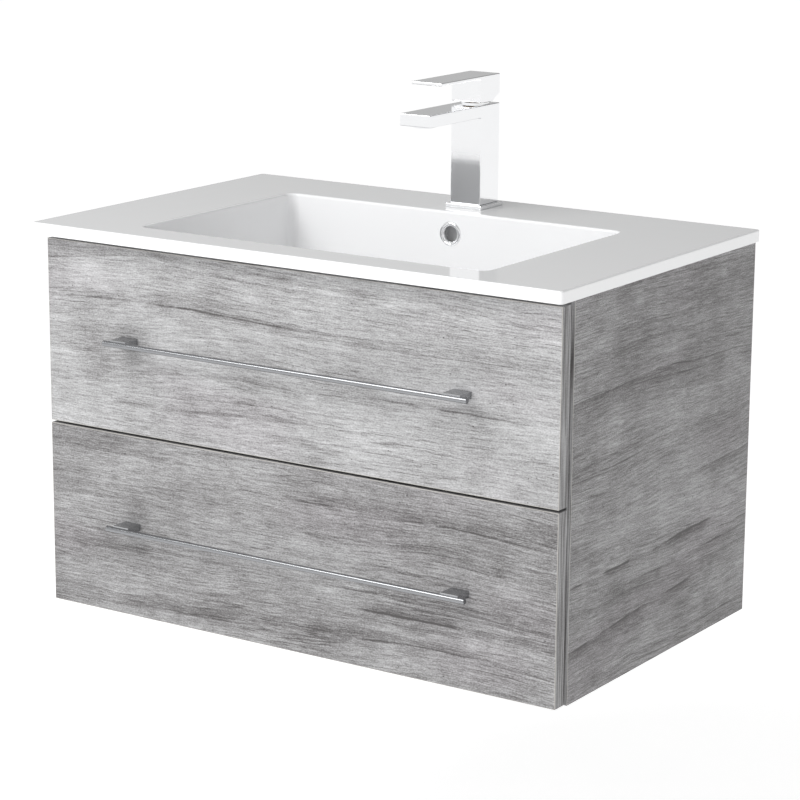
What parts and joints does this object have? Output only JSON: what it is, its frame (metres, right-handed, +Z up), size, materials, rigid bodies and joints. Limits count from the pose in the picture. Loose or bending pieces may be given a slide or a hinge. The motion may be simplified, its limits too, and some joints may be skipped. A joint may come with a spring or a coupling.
{
  "type": "bathroom vanity cabinet",
  "caption": "Wall-hung bathroom vanity with slide-out drawers, a moulded basin top, a push-open waste and a square lever mixer.",
  "frame": {"origin": "centre of the rectangle of wall screws, on the wall plane at the back of the cabinet", "axes": "+X to the right for someone facing the drawers, +Y towards the wall, +Z up"},
  "size_m": [0.762, 0.492, 0.6615],
  "materials": {
    "front_laminate": "embossed weathered-wood laminate, satin",
    "carcass_laminate": "embossed weathered-wood laminate, satin",
    "dowel_wood": "plain beech",
    "drawer_board": "grey melamine",
    "basin_white": "glazed white",
    "chrome": "polished",
    "zinc_steel": "zinc plated",
    "brass": "machined",
    "white_plastic": "moulded",
    "rubber": "matt",
    "clear_bumper": "soft translucent"
  },
  "bodies": {
    "cabinet": {"aerator_housing": "chrome", "aerator_screen": "white_plastic", "back_rail_lower": "carcass_laminate", "back_rail_upper": "carcass_laminate", "bottom_panel": "carcass_laminate", "cartridge": "white_plastic", "cartridge_ring": "chrome", "corner_blocks": "carcass_laminate", "dowels": "dowel_wood", "drain_body": "chrome", "drain_flange": "chrome", "drain_gasket": "rubber", "drain_guide": "white_plastic", "drain_nut": "white_plastic", "faucet_base_plate": "chrome", "faucet_body": "chrome", "faucet_stud": "zinc_steel", "inlet_cold": "brass", "inlet_hot": "brass", "lower_slide_channels": "zinc_steel", "middle_rail": "carcass_laminate", "mounting_nut": "zinc_steel", "mounting_washer": "zinc_steel", "overflow_duct": "basin_white", "overflow_ring": "chrome", "side_panel_left": "carcass_laminate", "side_panel_right": "carcass_laminate", "sink_top": "basin_white", "upper_slide_channels": "zinc_steel"},
    "upper_drawer": {"upper_back_left": "drawer_board", "upper_back_right": "drawer_board", "upper_bottom": "drawer_board", "upper_bumpers": "clear_bumper", "upper_front": "front_laminate", "upper_handle_bar": "chrome", "upper_handle_posts": "chrome", "upper_handle_screws": "zinc_steel", "upper_notch_front": "drawer_board", "upper_notch_left": "drawer_board", "upper_notch_right": "drawer_board", "upper_side_left": "drawer_board", "upper_side_right": "drawer_board", "upper_slide_runners": "zinc_steel"},
    "lower_drawer": {"lower_back": "drawer_board", "lower_bottom": "drawer_board", "lower_bumpers": "clear_bumper", "lower_front": "front_laminate", "lower_handle_bar": "chrome", "lower_handle_posts": "chrome", "lower_handle_screws": "zinc_steel", "lower_side_left": "drawer_board", "lower_side_right": "drawer_board", "lower_slide_runners": "zinc_steel"},
    "upper_slide_middles": {"upper_slide_middles": "zinc_steel"},
    "lower_slide_middles": {"lower_slide_middles": "zinc_steel"},
    "mixer_hub": {"swivel_hub": "brass", "lever_pin": "zinc_steel"},
    "mixer_lever": {"lever": "chrome"},
    "waste_stopper": {"drain_stopper": "chrome"}
  },
  "joints": [
    {"name": "upper_drawer_slide", "type": "slide", "parent": "cabinet", "child": "upper_drawer", "axis": [0, -1, 0], "range_m": [0, 0.35]},
    {"name": "upper_middles_slide", "type": "slide", "parent": "cabinet", "child": "upper_slide_middles", "axis": [0, -1, 0], "range_m": [0, 0.175]},
    {"name": "lower_drawer_slide", "type": "slide", "parent": "cabinet", "child": "lower_drawer", "axis": [0, -1, 0], "range_m": [0, 0.35]},
    {"name": "lower_middles_slide", "type": "slide", "parent": "cabinet", "child": "lower_slide_middles", "axis": [0, -1, 0], "range_m": [0, 0.175]},
    {"name": "mixer_swivel", "type": "hinge", "parent": "cabinet", "child": "mixer_hub", "pos_m": [0, -0.057, 0.385], "axis": [0, 0, 1], "range_deg": [-45, 45]},
    {"name": "lever_lift", "type": "hinge", "parent": "mixer_hub", "child": "mixer_lever", "pos_m": [0, -0.057, 0.392], "axis": [-1, 0, 0], "range_deg": [0, 25]},
    {"name": "stopper_travel", "type": "slide", "parent": "cabinet", "child": "waste_stopper", "axis": [0, 0, 1], "range_m": [0, 0.008]}
  ],
  "couplings": [
    {"joint": "upper_middles_slide", "follows": "upper_drawer_slide", "ratio": 0.5},
    {"joint": "lower_middles_slide", "follows": "lower_drawer_slide", "ratio": 0.5}
  ]
}
